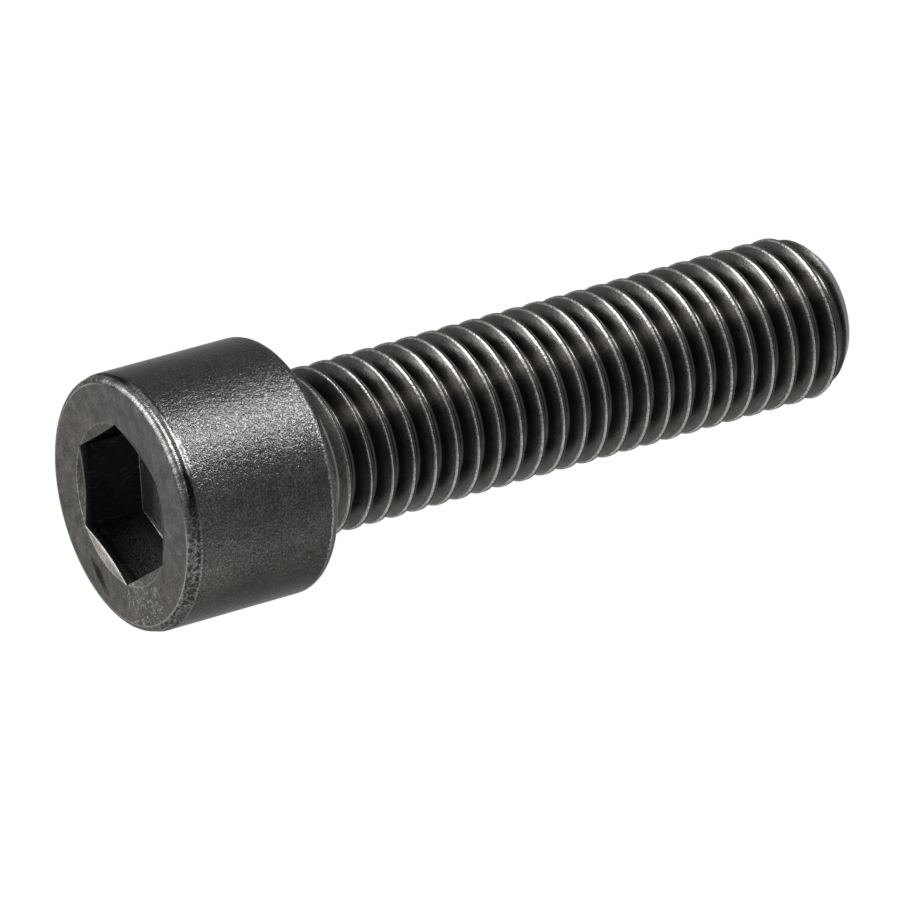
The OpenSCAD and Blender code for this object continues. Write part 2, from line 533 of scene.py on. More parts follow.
class Paint(Wiring):
    """Wiring with the patterns and masks that the finish is made of."""

    def vector(self, operation, *values, out=0):
        return self.add("ShaderNodeVectorMath", values, out=out, operation=operation)

    def dot(self, first, second):
        return self.vector("DOT_PRODUCT", first, second, out=1)

    def scale(self, vector, factor):
        """A vector or a colour times a number."""
        return self.add("ShaderNodeVectorMath", {0: vector, "Scale": factor}, operation="SCALE")

    def noise(self, vector, scale, detail=2.0, rough=0.5, distortion=0.0, out=0):
        return self.add(
            "ShaderNodeTexNoise",
            {"Vector": vector, "Scale": scale, "Detail": detail, "Roughness": rough,
             "Distortion": distortion},
            out=out,
        )

    def swing(self, *where, **more):
        """Noise that swings round zero."""
        return self.math("SUBTRACT", self.noise(*where, **more), 0.5)

    def hairlines(self, vector, scale, width, **more):
        """Curly thin lines: the places where a noise crosses its middle."""
        gap = self.math("ABSOLUTE", self.swing(vector, scale, **more))
        return self.ramp(gap, 0.0, width, 1.0, 0.0)

    def band(self, value, low, high, soft):
        """1 between low and high, falling to 0 over the soft width outside them."""
        rise = self.ramp(value, low - soft, low)
        return self.times(rise, self.ramp(value, high, high + soft, 1.0, 0.0))

    def facing(self, around, degrees, low, high):
        """1 towards a direction. low and high are cosines: 0.87 is 30 degrees away, 0.5 is 60."""
        return self.ramp(self.dot(around, direction(degrees)), low, high)

    def most(self, *masks):
        """The largest of several masks: 1 wherever one of them is."""
        top = masks[0]
        for mask in masks[1:]:
            top = self.math("MAXIMUM", top, mask)
        return top

    def inverse(self, mask):
        return self.math("SUBTRACT", 1.0, mask)

    def level(self, factor, first, second):
        """Mixes two numbers."""
        return self.add("ShaderNodeMix", {"Factor": factor, 2: first, 3: second}, out=0)

    def blend(self, factor, first, second):
        """Mixes two colours."""
        return self.add("ShaderNodeMix", {"Factor": factor, 6: first, 7: second}, out=2,
                        data_type="RGBA")


# %% [markdown]
# ### Sizes inside a material
# An effect that both materials use is a shader group, built once. The first one gives every pattern
# its real size: it reads Object coordinates, which stay with the part, turns them into millimetres,
# and works out the distance from the axis, the height, and the direction round the axis.

# %% Group: millimetre space
SOCKETS = {"Colour": "NodeSocketColor", "Place": "NodeSocketVector", "Around": "NodeSocketVector"}


def shader_group(name, inputs, outputs):
    """The writer of an empty group, and its inputs, which are numbers with a default."""
    tree = bpy.data.node_groups.new(name, "ShaderNodeTree")
    for label, default in inputs.items():
        socket = tree.interface.new_socket(label, in_out="INPUT", socket_type="NodeSocketFloat")
        socket.default_value = default
    for label in outputs:
        kind = SOCKETS.get(label, "NodeSocketFloat")
        tree.interface.new_socket(label, in_out="OUTPUT", socket_type=kind)
    w = Paint(tree)
    given = w.add("NodeGroupInput", out=None)
    return w, {label: given.outputs[label] for label in inputs}


def finish_group(w, results):
    """Ends a group: results is a dict of output name to socket."""
    w.add("NodeGroupOutput", results, out=None)
    return w.tree


def millimetre_space():
    w, _ = shader_group("Millimetre space", {}, ["Place", "Radius", "Height", "Around"])
    raw = w.add("ShaderNodeTexCoord", out="Object")
    place = w.vector("MULTIPLY", raw, (1000.0, 1000.0, 1000.0))
    flat = w.vector("MULTIPLY", place, (1.0, 1.0, 0.0))
    parts = w.add("ShaderNodeSeparateXYZ", [place], out=None)
    return finish_group(w, {"Place": place, "Radius": w.vector("LENGTH", flat, out=1),
                            "Height": parts.outputs[2], "Around": w.vector("NORMALIZE", flat)})


space_group = millimetre_space()


def millimetres(w):
    """Place, radius, height and direction round the axis, from the group."""
    node = w.add("ShaderNodeGroup", out=None, node_tree=space_group)
    return [node.outputs[name] for name in ("Place", "Radius", "Height", "Around")]


print("group:", space_group.name)

# %% [markdown]
# ### Black oxide
# The layer grows unevenly: clouds of a darker and a lighter black, a fine grain, and a surface like
# fine orange peel that breaks up the shine. It is brownish in places and plain grey in others, and it
# is painted greyer on the side that the key lamp lights and browner on the shaded side, a tint that
# follows the light. One noise of each size does it. Adding noise to a colour would spoil the darks,
# so the noises are added up first and used as a power of two: each step of 1 doubles the brightness.

# %% Group: black oxide
OXIDE_WARM = (0.0368, 0.0345, 0.0314, 1)
OXIDE_GREY = (0.0345, 0.0347, 0.0343, 1)
KEY_LIT_SIDE_GREY = (0.64, 0.77, 0.0)
GRAIN_STEPS, PATCH_STEPS, CLOUD_STEPS = 5.0, 5.0, 3.0


def oxide_group():
    """Shade multiplies the colour. Cool turns it grey, and a negative Cool turns it warm."""
    w, given = shader_group(
        "Black oxide", {"Grain": 0.6, "Mottle": 0.5, "Peel Size": 0.14, "Shade": 1.0, "Cool": 0.0},
        ["Colour", "Roughness", "Peel"])
    place, radius, _, around = millimetres(w)
    cloud, patch = w.swing(place, 0.3, 3.0, 0.6), w.swing(place, 1.1, 4.0, 0.6)
    steps = w.times(w.swing(place, 8.0, 3.0, 0.8), w.times(given["Grain"], GRAIN_STEPS))
    broad = w.math("MULTIPLY_ADD", patch, PATCH_STEPS, w.times(cloud, CLOUD_STEPS))
    steps = w.math("MULTIPLY_ADD", broad, given["Mottle"], steps)
    shade = w.times(w.math("POWER", 2.0, steps), given["Shade"])
    # Painted light: the side lit by the key lamp is tinted grey, and the shaded side stays brown.
    lit_side_grey = w.times(w.ramp(w.dot(around, KEY_LIT_SIDE_GREY), 0.35, 0.9), w.ramp(radius, 3.0, 4.6))
    neutral = w.most(w.ramp(w.noise(place, 0.2, 2.0), 0.54, 0.74), lit_side_grey)
    tint = w.blend(w.math("ADD", neutral, given["Cool"]), OXIDE_WARM, OXIDE_GREY)
    size = w.math("DIVIDE", 1.0, given["Peel Size"])
    fine, wide = w.noise(place, size, 2.0, 0.6), w.noise(place, w.times(size, 0.38), 2.0, 0.5)
    return finish_group(w, {
        "Colour": w.scale(tint, shade),
        "Roughness": w.math("MULTIPLY_ADD", patch, 0.16, 0.3),
        "Peel": w.math("MULTIPLY_ADD", wide, 1.2, fine),
    })


oxide = oxide_group()
print("group:", oxide.name, "with", len(oxide.nodes), "nodes")

# %% [markdown]
# ## Wear on the front edge
# The front edge has rubbed against other parts. One stretch of it is polished bright, the rest is
# chipped. A mark of even width would look printed, so the height that the marks read is shifted by a
# wide and a fine noise, and every border wanders. Short scratches run across the bead, because that
# is the way in which parts slide over it.

# %% What the marks of the front edge share
def edge_masks(w):
    place, radius, height, around = millimetres(w)
    wobble, fray = w.swing(place, 1.5, 4.0, 0.65), w.swing(place, 6.0, 3.0, 0.7)
    spread = w.vector("MULTIPLY", around, (64.0, 64.0, 0.0))
    lean = w.join(0.0, 0.0, w.times(height, 1.3))
    return SimpleNamespace(
        place=place, radius=radius, height=height, around=around, fray=fray,
        level=w.math("MULTIPLY_ADD", fray, 0.16, w.math("MULTIPLY_ADD", wobble, 0.12, height)),
        outer=w.ramp(radius, RIM_R - 0.06, RIM_R),
        across=w.noise(w.vector("ADD", spread, lean), 1.0, 4.0, 0.75),
        worn=w.facing(around, 32, 0.87, 0.96),
        chipped=w.inverse(w.facing(around, 36, 0.45, 0.85)),
    )


# %% [markdown]
# On the bright stretch the bead is rubbed down to steel. Where the key lamp's gleam falls, the groove
# is painted grey and the step behind it carries a painted highlight, a sharp bright line. Behind the
# step a small wedge is painted pale, a painted highlight with cracks in it.

# %% The bright stretch
def bright_stretch(w, e):
    stray = w.ramp(w.noise(e.around, 1.7, 2.0), 0.56, 0.68)
    bright = w.most(w.facing(e.around, 34, 0.72, 0.95), w.times(stray, 0.8))
    smear = w.ramp(w.noise(e.place, 1.2, 3.0, 0.6), 0.36, 0.60)
    scratched = w.times(w.ramp(e.across, 0.38, 0.60, 0.22, 0.85), w.level(smear, 0.5, 1.0))
    bead = w.times(w.band(e.level, 0.06, 0.38, 0.10), e.outer, scratched)
    # Painted light: the groove, the step's line and the wedge are lighter where the key lamp gleams.
    groove_painted_light = w.times(w.band(e.level, 0.34, 0.80, 0.06), e.outer, e.worn,
                      w.ramp(e.across, 0.36, 0.6, 0.10, 0.42))
    step_highlight = w.times(w.band(e.height, 0.80, 0.90, 0.06), e.outer,
                        w.facing(e.around, 47, 0.955, 0.985), w.ramp(e.fray, -0.2, 0.0, 0.45, 1.0))
    cracks = w.hairlines(e.place, 1.9, 0.03, detail=2.0)
    wedge_highlight = w.times(w.band(e.level, 0.84, 1.10, 0.18), w.facing(e.around, 52, 0.982, 0.996), e.outer,
                    w.level(cracks, 1.0, 0.35), w.ramp(e.fray, -0.16, 0.06, 0.3, 1.0))
    return w.most(w.times(bright, bead), groove_painted_light, step_highlight, w.times(wedge_highlight, 0.6))


# %% [markdown]
# On the chipped stretch the oxide has flaked off in small curly chips. Voronoi cells, bent by a
# noise, give the chips their closed outlines. The outlines are light, the flakes inside them dark,
# and a light line runs along both borders of the stretch.

# %% The chipped stretch
def chipped_stretch(w, e):
    """The light lines, and the dark flakes."""
    bend = w.scale(w.noise(e.place, 2.2, 2.0, out=1), 0.9)
    cell = w.add("ShaderNodeTexVoronoi", {"Vector": w.vector("ADD", e.place, bend), "Scale": 1.6},
                 feature="DISTANCE_TO_EDGE")
    outline = w.ramp(cell, 0.02, 0.14, 1.0, 0.0)
    chips = w.times(w.band(e.level, 0.05, 0.80, 0.07), e.outer, e.chipped)
    curl = w.times(outline, chips, w.ramp(e.fray, -0.1, 0.1, 0.3, 1.0))
    rim_line = w.times(w.band(e.radius, RIM_R - 0.05, RIM_R + 0.02, 0.05),
                       w.ramp(e.fray, -0.14, 0.04, 0.3, 1.0), e.chipped)
    back_line = w.times(w.band(e.level, 0.82, 0.92, 0.06), e.outer, e.chipped,
                        w.ramp(e.fray, -0.1, 0.1))
    some = w.ramp(w.noise(e.place, 1.1, 3.0, 0.6), 0.42, 0.56)
    light = w.most(w.times(curl, 0.75), w.times(rim_line, 0.95), w.times(back_line, 0.75))
    return light, w.times(chips, some, w.inverse(outline))


# %% [markdown]
# The groove, one ragged notch and the crease at the rim are painted dark: painted shade in the
# hollows. The group puts out three values: Light says how far steel or a painted highlight shows,
# Dark how far the coat is darkened by painted shade and by the dark flakes, and Scratch is the relief
# of the bead.

# %% Group: front edge wear
def front_edge_group():
    w, _ = shader_group("Front edge wear", {}, ["Light", "Dark", "Scratch"])
    e = edge_masks(w)
    chips, flakes = chipped_stretch(w, e)
    light = w.most(bright_stretch(w, e), chips)
    # Painted shade: the groove, a notch and the crease at the rim are darkened.
    deep = w.times(w.facing(e.around, 78, 0.80, 0.96), w.band(e.level, 0.30, 0.80, 0.08))
    shallow = w.inverse(w.most(e.worn, w.times(w.facing(e.around, 130, 0.5, 0.8), 0.65)))
    groove = w.times(w.most(w.band(e.level, 0.50, 0.72, 0.09), deep), e.outer, shallow)
    notch_shade = w.times(w.band(e.level, 0.36, 0.74, 0.07), e.outer, w.facing(e.around, -2, 0.88, 0.97),
                    w.ramp(w.noise(e.place, 1.5, 3.0, 0.6), 0.44, 0.54))
    crease_shade = w.times(w.band(e.radius, RIM_R + 0.01, RIM_R + 0.07, 0.03),
                     w.facing(e.around, 30, 0.5, 0.9))
    return finish_group(w, {
        "Light": w.math("MULTIPLY", light, 1.0, clamp=True),
        "Dark": w.most(w.times(groove, 0.85), w.times(notch_shade, 0.85), w.times(crease_shade, 0.8),
                       w.times(flakes, 0.34)),
        "Scratch": w.times(e.across, w.band(e.height, 0.05, 0.80, 0.05), e.outer),
    })


front_edge_wear = front_edge_group()
print("group:", front_edge_wear.name, "with", len(front_edge_wear.nodes), "nodes")

# %% [markdown]
# ## Marks on the face and in the socket
# The face is streaked by the tool that dressed it. Round the countersink and the hexagon run thin
# worn lines. To place marks inside the hexagon, a shader needs the distance to its walls: three dot
# products give the distance to the three pairs of walls, and the largest of them counts.

# %% What the marks of the face share
def wall_distance(w, place):
    """Distance outwards from the socket's six walls."""
    sides = [w.math("ABSOLUTE", w.dot(place, direction(degrees))) for degrees in (30, 90, 150)]
    return w.math("SUBTRACT", w.most(*sides), SOCKET_HALF)


def face_masks(w):
    place, radius, height, around = millimetres(w)
    wall = wall_distance(w, place)
    return SimpleNamespace(
        place=place, radius=radius, height=height, around=around, wall=wall,
        fray=w.swing(place, 5.0, 3.0, 0.7),
        along=w.dot(place, (0.963, -0.268, 0.0)), across=w.dot(place, (0.268, 0.963, 0.0)),
        face=w.times(w.ramp(height, 0.22, 0.3, 1.0, 0.0),
                     w.ramp(radius, RIM_R - 0.05, RIM_R, 1.0, 0.0)),
        inside=w.times(w.ramp(wall, 0.0, 0.06, 1.0, 0.0),
                       w.band(height, 0.35, SOCKET_DEPTH + 0.1, 0.2)),
        front=w.ramp(height, 0.5, 0.6, 1.0, 0.0),
    )


# %% [markdown]
# A real countersink is touched by every key. Its rim and the hexagon's mouth are worn to fine broken
# lines. One crescent is painted pale in streaks that run outwards, a painted highlight, and the next
# one is painted darker with a ragged edge, a painted shade.

# %% Countersink and mouth
def countersink_marks(w, f):
    """The light lines and the crescent with painted highlight, and the crescent with painted shade.
    """
    ring = w.times(
        w.band(w.math("MULTIPLY_ADD", f.fray, 0.10, f.radius), SINK_R - 0.05, SINK_R + 0.02, 0.04),
        w.ramp(f.height, 0.05, 0.1, 1.0, 0.0), w.ramp(f.fray, -0.12, 0.08, 0.25, 1.0))
    mouth = w.times(w.band(w.math("MULTIPLY_ADD", f.fray, 0.05, f.wall), 0.01, 0.07, 0.04), f.front,
                    w.ramp(f.radius, SINK_R, SINK_R + 0.15, 1.0, 0.0),
                    w.ramp(f.fray, -0.15, 0.05, 0.4, 1.0))
    sink = w.times(w.ramp(f.wall, 0.02, 0.10),
                   w.ramp(f.radius, SINK_R - 0.04, SINK_R + 0.04, 1.0, 0.0), f.front)
    fan = w.vector("MULTIPLY", f.around, (16.0, 16.0, 0.0))
    # Painted highlight: one crescent is made lighter, in streaks.
    pale = w.times(sink, w.ramp(f.wall, 0.06, 0.28, 1.0, 0.1), w.facing(f.around, -152, 0.93, 0.985),
                   w.ramp(w.noise(fan, 1.0, 3.0, 0.7), 0.32, 0.62, 0.1, 1.0))
    # Painted shade: the next crescent is made darker.
    darker_crescent = w.times(sink, w.facing(f.around, -95, 0.80, 0.95),
                      w.ramp(w.noise(f.place, 3.0, 3.0, 0.6), 0.3, 0.6, 0.6, 1.0))
    light = w.most(w.times(ring, 0.5), w.times(mouth, 0.3), w.times(pale, 0.8))
    return light, w.times(darker_crescent, 0.6)


# %% [markdown]
# Curly light scuffs and grit lie mostly on one spot below the socket. A dark oval stain lies beside
# it, and small dark pits all over. Down the socket's walls run long fine scratches: the same curly
# hairlines, in a space that is squeezed along the socket, which stretches them.

# %% Scuffs, stain and scratches
SCUFFS_AT = (-6.9, 2.4, 0.0)
STAIN_AT = (-6.1, -3.55, 0.0)
STAIN_SHORT, STAIN_LONG = (1.5, 1.75, 0.0), (-0.55, 0.47, 0.0)


def scattered_marks(w, f):
    """The light marks and the dark ones."""
    spot = w.vector("LENGTH", w.vector("SUBTRACT", f.place, SCUFFS_AT), out=1)
    scuffed = w.ramp(w.math("MULTIPLY_ADD", f.fray, 1.2, spot), 1.6, 3.6, 1.0, 0.12)
    scuff = w.times(w.hairlines(f.place, 1.5, 0.042, detail=3.0, distortion=0.8), f.face, scuffed,
                    w.ramp(w.noise(f.place, 2.3, 2.0), 0.38, 0.56))
    grit = w.times(w.ramp(w.noise(f.place, 9.0, 1.0), 0.66, 0.72), f.face)
    from_stain = w.vector("SUBTRACT", f.place, STAIN_AT)
    u, v = w.dot(from_stain, STAIN_LONG), w.dot(from_stain, STAIN_SHORT)
    oval = w.math("SQRT", w.math("ADD", w.times(u, u), w.times(v, v)))
    stain = w.times(w.ramp(w.math("MULTIPLY_ADD", f.fray, 1.3, oval), 0.45, 1.25, 1.0, 0.0), f.face)
    pits = w.times(w.ramp(w.noise(f.place, 7.0, 1.0), 0.28, 0.34, 1.0, 0.0), f.face)
    squeezed = w.join(f.along, f.across, w.times(f.height, 0.22))
    scored = w.times(w.hairlines(squeezed, 1.9, 0.011, detail=1.0), f.inside,
                     w.ramp(w.noise(f.place, 0.7, 1.0), 0.45, 0.6))
    light = w.most(scuff, w.times(grit, 0.3), w.times(scored, 0.6))
    return light, w.most(w.times(stain, 0.85), w.times(pits, 0.5))


# %% [markdown]
# The group joins the marks and adds the streaks, a noise that is squeezed across one direction. It
# also puts out where the face is and where the socket is, because the coat differs there.

# %% Group: face marks
def face_group():
    w, _ = shader_group("Face marks", {}, ["Streak", "Light", "Dark", "Face", "Inside"])
    f = face_masks(w)
    brushed = w.join(w.times(f.along, 0.7), w.times(f.across, 4.5), 0.0)
    lines, crescent = countersink_marks(w, f)
    light, dark = scattered_marks(w, f)
    # Dark holds stains, pits and a crescent's painted shade; Light holds worn lines, scuffs and a
    # crescent's painted highlight.
    return finish_group(w, {
        "Streak": w.swing(brushed, 1.0, 4.0, 0.65), "Light": w.most(lines, light),
        "Dark": w.most(dark, crescent), "Face": f.face, "Inside": f.inside,
    })


face_marks = face_group()
print("group:", face_marks.name, "with", len(face_marks.nodes), "nodes")

# %% [markdown]
# ## Wear on the side and the rear edge
# The side has tiny rubbed spots. Along the rear edge, where other screws knock against it, two light
# lines with nicks enclose a grey band, and on the half towards the key lamp the rounding is painted
# dark, a painted shade over the lamp's gleam.

# %% Side and rear edge
def rear_edge(w, place, radius, height, around):
    """The light band, and the dark band of painted shade."""
    fray = w.swing(place, 5.0, 3.0, 0.7)
    level = w.math("MULTIPLY_ADD", fray, 0.42, height)
    behind = w.ramp(radius, 8.0, 8.1)
    nicks = w.ramp(fray, -0.12, 0.10, 0.2, 1.0)
    first = w.times(w.band(level, 11.22, 11.32, 0.06), nicks, 0.8)
    second = w.times(w.band(level, 11.66, 11.76, 0.06), nicks, 0.8)
    between = w.times(w.band(level, 11.24, 11.76, 0.06), 0.2)
    light = w.times(w.most(first, second, between), behind,
                    w.level(w.facing(around, 125, 0.15, 0.75), 0.12, 1.0))
    # Painted shade: the rounding is darkened on the half towards the key lamp.
    dark = w.times(w.ramp(level, 11.26, 11.36), behind, w.facing(around, 30, 0.55, 0.9), 0.4)
    return light, dark


def bare_spots(w, place, height, around, face):
    return w.times(w.ramp(w.noise(place, 7.0, 2.0, 0.8), 0.58, 0.70),
                   w.ramp(w.noise(place, 0.6, 2.0), 0.35, 0.65, 0.35, 1.0), w.inverse(face),
                   w.ramp(height, 0.9, 1.2), w.facing(around, 110, 0.0, 0.7), 0.2)


# %% [markdown]
# ## How worn steel shines
# Both materials end in the same way, with one Principled shader and a shallow bump. Shaders stay in
# the material and out of the groups, which only hand over colours and masks. The edge tint keeps the
# dark metal from turning white where it is seen at a flat angle.

# %% Shader of the steel
STEEL_RUBBED = (0.215, 0.21, 0.202, 1)
EDGE_TINT = (0.6, 0.6, 0.6, 1)


def new_material(name):
    material = bpy.data.materials.new(name)
    material.use_nodes = True
    material.node_tree.nodes.clear()
    return material, Paint(material.node_tree)


def steel_surface(w, colour, metallic, roughness, relief, depth):
    """Ends a material with its shader. depth is the depth of the relief in millimetres."""
    bump = w.add("ShaderNodeBump", {"Strength": 1.0, "Distance": depth * MM, "Height": relief})
    surface = w.add("ShaderNodeBsdfPrincipled", {
        "Base Color": colour, "Metallic": metallic, "Roughness": roughness, "Normal": bump,
        "Specular Tint": EDGE_TINT,
    })
    w.add("ShaderNodeOutputMaterial", [surface], out=None)


# %% [markdown]
# ## The head's coat
# This is the oxide before any wear, with painted light in it. It is painted lighter on the face,
# where a lamp falls on it, much lighter on the socket's floor, a painted reflection in the dim
# recess, and a little paler on the side towards the front edge. The grain is coarse on the forged
# side, finer on the face and faint in the socket.

# %% The head's coat
def head_coat(w, height, around, marks):
    face, inside = marks["Face"], marks["Inside"]
    # Painted reflection: the socket's floor is painted much lighter.
    floor = w.times(inside, w.ramp(height, SOCKET_DEPTH - 0.05, SOCKET_DEPTH - 0.01))
    streaks = w.math("POWER", 2.0, w.times(w.times(marks["Streak"], face), 1.6))
    pale = w.times(w.ramp(height, 1.6, 6.0, 1.0, 0.0), w.facing(around, 125, 0.4, 0.95),
                   w.inverse(face))
    # Painted light: the face is painted lighter than the side.
    shade = w.times(w.level(face, 0.92, 2.05), w.math("MULTIPLY_ADD", floor, 8.0, 1.0), streaks,
                    w.math("MULTIPLY_ADD", pale, 0.36, 1.0))
    return w.add("ShaderNodeGroup", {
        "Grain": w.level(inside, w.level(face, 1.5, 0.6), 0.3),
        "Mottle": w.level(inside, w.level(face, 0.2, 0.34), 0.08),
        "Peel Size": 0.12, "Shade": shade, "Cool": inside,
    }, out=None, node_tree=oxide).outputs


# %% [markdown]
# ## The head's material
# All marks come together here. The light ones, worn steel and painted highlights, are joined by their
# largest value and lay bare steel's colour over the coat. The dark ones, stains and painted shade,
# are joined in the same way and darken the coat. Rubbed steel is a little rougher on the front edge,
# and the coat's fine relief is worn down there.

# %% Material: black oxide on the head
def head_material():
    material, w = new_material("black_oxide_head")
    place, radius, height, around = millimetres(w)
    marks = w.add("ShaderNodeGroup", out=None, node_tree=face_marks).outputs
    edge = w.add("ShaderNodeGroup", out=None, node_tree=front_edge_wear).outputs
    coat = head_coat(w, height, around, marks)
    rear, rear_painted_shade = rear_edge(w, place, radius, height, around)
    wear = w.most(edge["Light"], marks["Light"], rear,
                  bare_spots(w, place, height, around, marks["Face"]))
    # The foot of the socket's walls is painted darker, a painted shade in the corner.
    foot = w.times(w.band(height, SOCKET_DEPTH - 0.07, SOCKET_DEPTH - 0.02, 0.015),
                   marks["Inside"], 0.55)
    dark = w.most(edge["Dark"], marks["Dark"], rear_painted_shade, foot)
    colour = w.blend(wear, w.scale(coat["Colour"], w.inverse(dark)), STEEL_RUBBED)
    rough = w.level(wear, w.math("MULTIPLY_ADD", marks["Face"], 0.05, coat["Roughness"]),
                    w.ramp(height, 1.0, 1.3, 0.38, 0.3))
    peel = w.times(coat["Peel"], w.ramp(height, 0.75, 1.15, 0.3, 1.0))
    relief = w.math("MULTIPLY_ADD", edge["Scratch"], 0.9, peel)
    steel_surface(w, colour, 1.0, rough, relief, 0.042)
    return material


head_finish = head_material()
print("material:", head_finish.name, "with", len(head_finish.node_tree.nodes), "nodes")

# %% [markdown]
# ## Where a point lies on the thread
# Marks on a thread have to climb with it. The place within one pitch is worked out from the height
# and the angle, which is exactly how the thread itself was made, so the marks sit on the ridge all
# the way along.

# %% Group: pitch phase
def pitch_phase():
    """Place within one pitch: 0 in the root, 0.5 on the crest."""
    w, given = shader_group("Pitch phase", {"Pitch": PITCH, "Crest": CREST_AT_ZERO}, ["Phase"])
    parts = w.add("ShaderNodeSeparateXYZ", [millimetres(w)[0]], out=None)
    angle = w.math("ARCTAN2", parts.outputs[1], parts.outputs[0])
    along = w.math("DIVIDE", w.math("SUBTRACT", parts.outputs[2], given["Crest"]), given["Pitch"])
    turns = w.math("SUBTRACT", along, w.math("DIVIDE", angle, 2 * math.pi))
    return finish_group(w, {"Phase": w.math("FRACT", w.math("ADD", turns, 100.5))})


phase_group = pitch_phase()
print("group:", phase_group.name)

# %% [markdown]
# ## Wear on the crest
# The lip that faces the head is rubbed down to bright steel, in specks. The lip behind the seam is
# touched only in patches, and it is painted brightest where the key lamp's gleam falls on the crests,
# a painted highlight. The seam itself is touched hardly at all. The marks fade where the thread is
# not fully grown, are stronger on the side that has rubbed, and are weaker on the side that faces the
# camera.

# %% Lips of the crest
def crest_wear(w, place, radius, around, side, speck):
    patchy = w.ramp(w.noise(place, 1.3, 3.0, 0.7), 0.36, 0.62)
    rubbed, lower = w.facing(around, 92, 0.15, 0.7), w.facing(around, 112, 0.86, 0.96)
    lip = w.times(w.band(side, -0.104, -0.03, 0.01), w.level(speck, w.level(lower, 0.2, 0.4), 1.05),
                  w.level(rubbed, 0.35, 1.0))
    # Painted highlight: the far lip is brightest where the key lamp gleams on the crests.
    far_lip_glint = w.times(w.band(side, 0.04, 0.082, 0.012),
                      w.level(speck, 0.15, w.level(patchy, 0.3, 0.6)),
                      w.level(w.facing(around, 47, 0.90, 0.98), 0.25, 1.0))
    top = w.times(w.band(side, -0.05, 0.05, 0.012), w.level(speck, 0.0, 0.06))
    # Weaker on the side that faces the camera.
    camera_side_weaker = w.level(w.facing(around, 75, 0.90, 0.97), 1.0, 0.62)
    return w.times(w.most(lip, far_lip_glint, top), w.ramp(radius, 5.45, 5.7), camera_side_weaker)


# %% [markdown]
# ## Flanks, seam and root
# The dies leave faint lines that follow the ridge. The flanks are painted lighter towards the crest
# and darker towards the root, and the seam is painted dark: painted light and shade, with the very
# bottom of the root a little lighter again. Round the screw the coat is painted darker where the key
# lamp gleams on the upper flanks and lighter away from the side that faces the camera. The lines are
# a noise that is drawn out along the thread: it reads the place within the pitch closely and the
# direction loosely. They stop at the flat end face, which isn't rolled. The coat has its warm tint on
# the whole thread.

# %% The thread's coat
def thread_coat(w, place, radius, height, around, off, side):
    rows = w.join(0.0, 0.0, w.times(off, 20.0))
    drift = w.vector("ADD", w.vector("MULTIPLY", around, (1.2, 1.2, 0.0)), rows)
    lines = w.swing(w.vector("ADD", drift, w.vector("MULTIPLY", place, (0, 0, 0.35))), 1.0, 3.0, 0.6)
    # Painted light: the very bottom of the root is a little lighter.
    root = w.times(w.ramp(off, 0.42, 0.46), w.ramp(height, 14.6, 15.0))
    steps = w.times(w.math("MULTIPLY_ADD", lines, 1.6, w.times(root, 0.3)), w.ramp(radius, 4.5, 4.7))
    # Painted light and shade: darker where the key lamp gleams on the upper flanks, lighter away from
    # the side that faces the camera.
    toward_camera, lit = w.facing(around, 71, 0.93, 0.995), w.facing(around, -8, 0.6, 0.97)
    lines_and_painted_light = w.times(w.math("POWER", 2.0, steps), w.level(lit, w.level(toward_camera, 1.4, 1.05), 0.5))
    # Painted shade and light: the seam and the root darker, the flanks lighter towards the crest.
    seam = w.times(w.band(side, -0.03, 0.15, 0.02), w.ramp(radius, 5.45, 5.7))
    crest_light_root_shade = w.level(seam, w.ramp(radius, 5.0, 5.8, 0.6, 1.9), 0.45)
    return w.add("ShaderNodeGroup", {
        "Grain": 0.3, "Mottle": 0.3, "Cool": -1.0, "Peel Size": 0.12, "Shade": w.times(lines_and_painted_light, crest_light_root_shade),
    }, out=None, node_tree=oxide).outputs


# %% [markdown]
# ## The thread's material
# Two marks are left. A light fold runs along the foot of the first ridge. The chamfer was turned, so
# its oxide is thin and specks of steel show through: it is found as the points that lie on the
# envelope's two cones. The oxide of the rolled thread is a little less metallic than the head's.

# %% Material: black oxide on the thread
STEEL_CREST = (0.46, 0.452, 0.438, 1)


def chamfer_mask(w, radius, height):
    before = w.math("SUBTRACT", BREAK_Z, height)
    cone_r = w.math("MINIMUM", w.math("MULTIPLY_ADD", before, OUTER_SLOPE, BREAK_R),
                    w.math("MULTIPLY_ADD", before, INNER_SLOPE, BREAK_R))
    off_cone = w.math("ABSOLUTE", w.math("SUBTRACT", cone_r, radius))
    return w.times(w.ramp(off_cone, 0.04, 0.18, 1.0, 0.0), w.ramp(height, 55.2, 55.4))


def thread_material():
    material, w = new_material("black_oxide_thread")
    place, radius, height, around = millimetres(w)
    phase = w.add("ShaderNodeGroup", out=0, node_tree=phase_group)
    from_crest = w.math("SUBTRACT", phase, 0.5)
    fray = w.swing(place, 7.0, 3.0, 0.7)
    side = w.math("MULTIPLY_ADD", fray, 0.022, from_crest)
    speck = w.ramp(w.noise(place, 8.5, 2.0, 0.7), 0.42, 0.60)
    coat = thread_coat(w, place, radius, height, around, w.math("ABSOLUTE", from_crest), side)
    fold = w.times(w.band(w.math("MULTIPLY_ADD", fray, 0.02, phase), 0.06, 0.10, 0.02),
                   w.ramp(height, 14.1, 14.3, 1.0, 0.0), 0.3)
    turned = w.times(chamfer_mask(w, radius, height), w.level(speck, 0.0, 0.14))
    wear = w.most(crest_wear(w, place, radius, around, side, speck), fold, turned)
    colour = w.blend(wear, coat["Colour"], STEEL_CREST)
    rough = w.level(wear, w.math("SUBTRACT", coat["Roughness"], 0.04), 0.32)
    steel_surface(w, colour, w.level(wear, 0.72, 1.0), rough, coat["Peel"], 0.012)
    return material


thread_finish = thread_material()
print("material:", thread_finish.name, "with", len(thread_finish.node_tree.nodes), "nodes")

